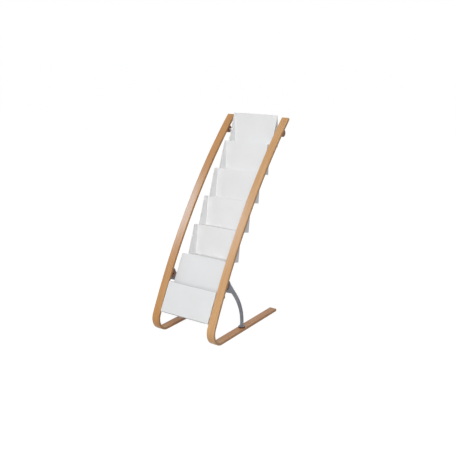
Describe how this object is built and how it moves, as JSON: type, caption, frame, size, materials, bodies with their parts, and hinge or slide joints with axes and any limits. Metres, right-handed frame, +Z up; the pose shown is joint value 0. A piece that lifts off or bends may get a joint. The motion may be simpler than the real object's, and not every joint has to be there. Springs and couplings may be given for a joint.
{
  "type": "periodical display rack",
  "caption": "Floor-standing display rack: two bentwood rails lean back from their feet and carry a cascade of white leaflet trays above a bottom pocket, braced by curved struts.",
  "frame": {"origin": "on the floor, under the middle of the rack's outer box", "axes": "+Z up, the trays open to the front, which is -Y, and +X is to the right for someone who stands in front and looks at the rack"},
  "size_m": [0.338, 0.609, 0.9304],
  "materials": {
    "beech": "clear satin lacquer on bent laminated beech",
    "tray": "moulded white, satin",
    "brown": "turned wood, brown stain, satin",
    "strut": "cast metal, blue-grey satin paint",
    "steel": "plain steel fasteners"
  },
  "bodies": {
    "rack": {"boss_screw_lower_left": "steel", "boss_screw_lower_right": "steel", "boss_screw_upper_left": "steel", "boss_screw_upper_right": "steel", "bottom_pocket": "tray", "hanger_bolt_left": "steel", "hanger_bolt_right": "steel", "joint_screw_1_left": "steel", "joint_screw_1_right": "steel", "joint_screw_2_left": "steel", "joint_screw_2_right": "steel", "joint_screw_3_left": "steel", "joint_screw_3_right": "steel", "joint_screw_4_left": "steel", "joint_screw_4_right": "steel", "joint_screw_5_left": "steel", "joint_screw_5_right": "steel", "lower_boss_left": "brown", "lower_boss_right": "brown", "pocket_screw_lower_left": "steel", "pocket_screw_lower_right": "steel", "pocket_screw_upper_left": "steel", "pocket_screw_upper_right": "steel", "rail_left": "beech", "rail_right": "beech", "strut_bolt_left": "steel", "strut_bolt_right": "steel", "strut_left": "strut", "strut_right": "strut", "strut_screw_lower_left": "steel", "strut_screw_lower_right": "steel", "strut_screw_upper_left": "steel", "strut_screw_upper_right": "steel", "strut_seat_left": "brown", "strut_seat_right": "brown", "tray_1": "tray", "tray_2": "tray", "tray_3": "tray", "tray_4": "tray", "tray_5": "tray", "upper_boss_left": "brown", "upper_boss_right": "brown"}
  },
  "joints": []
}
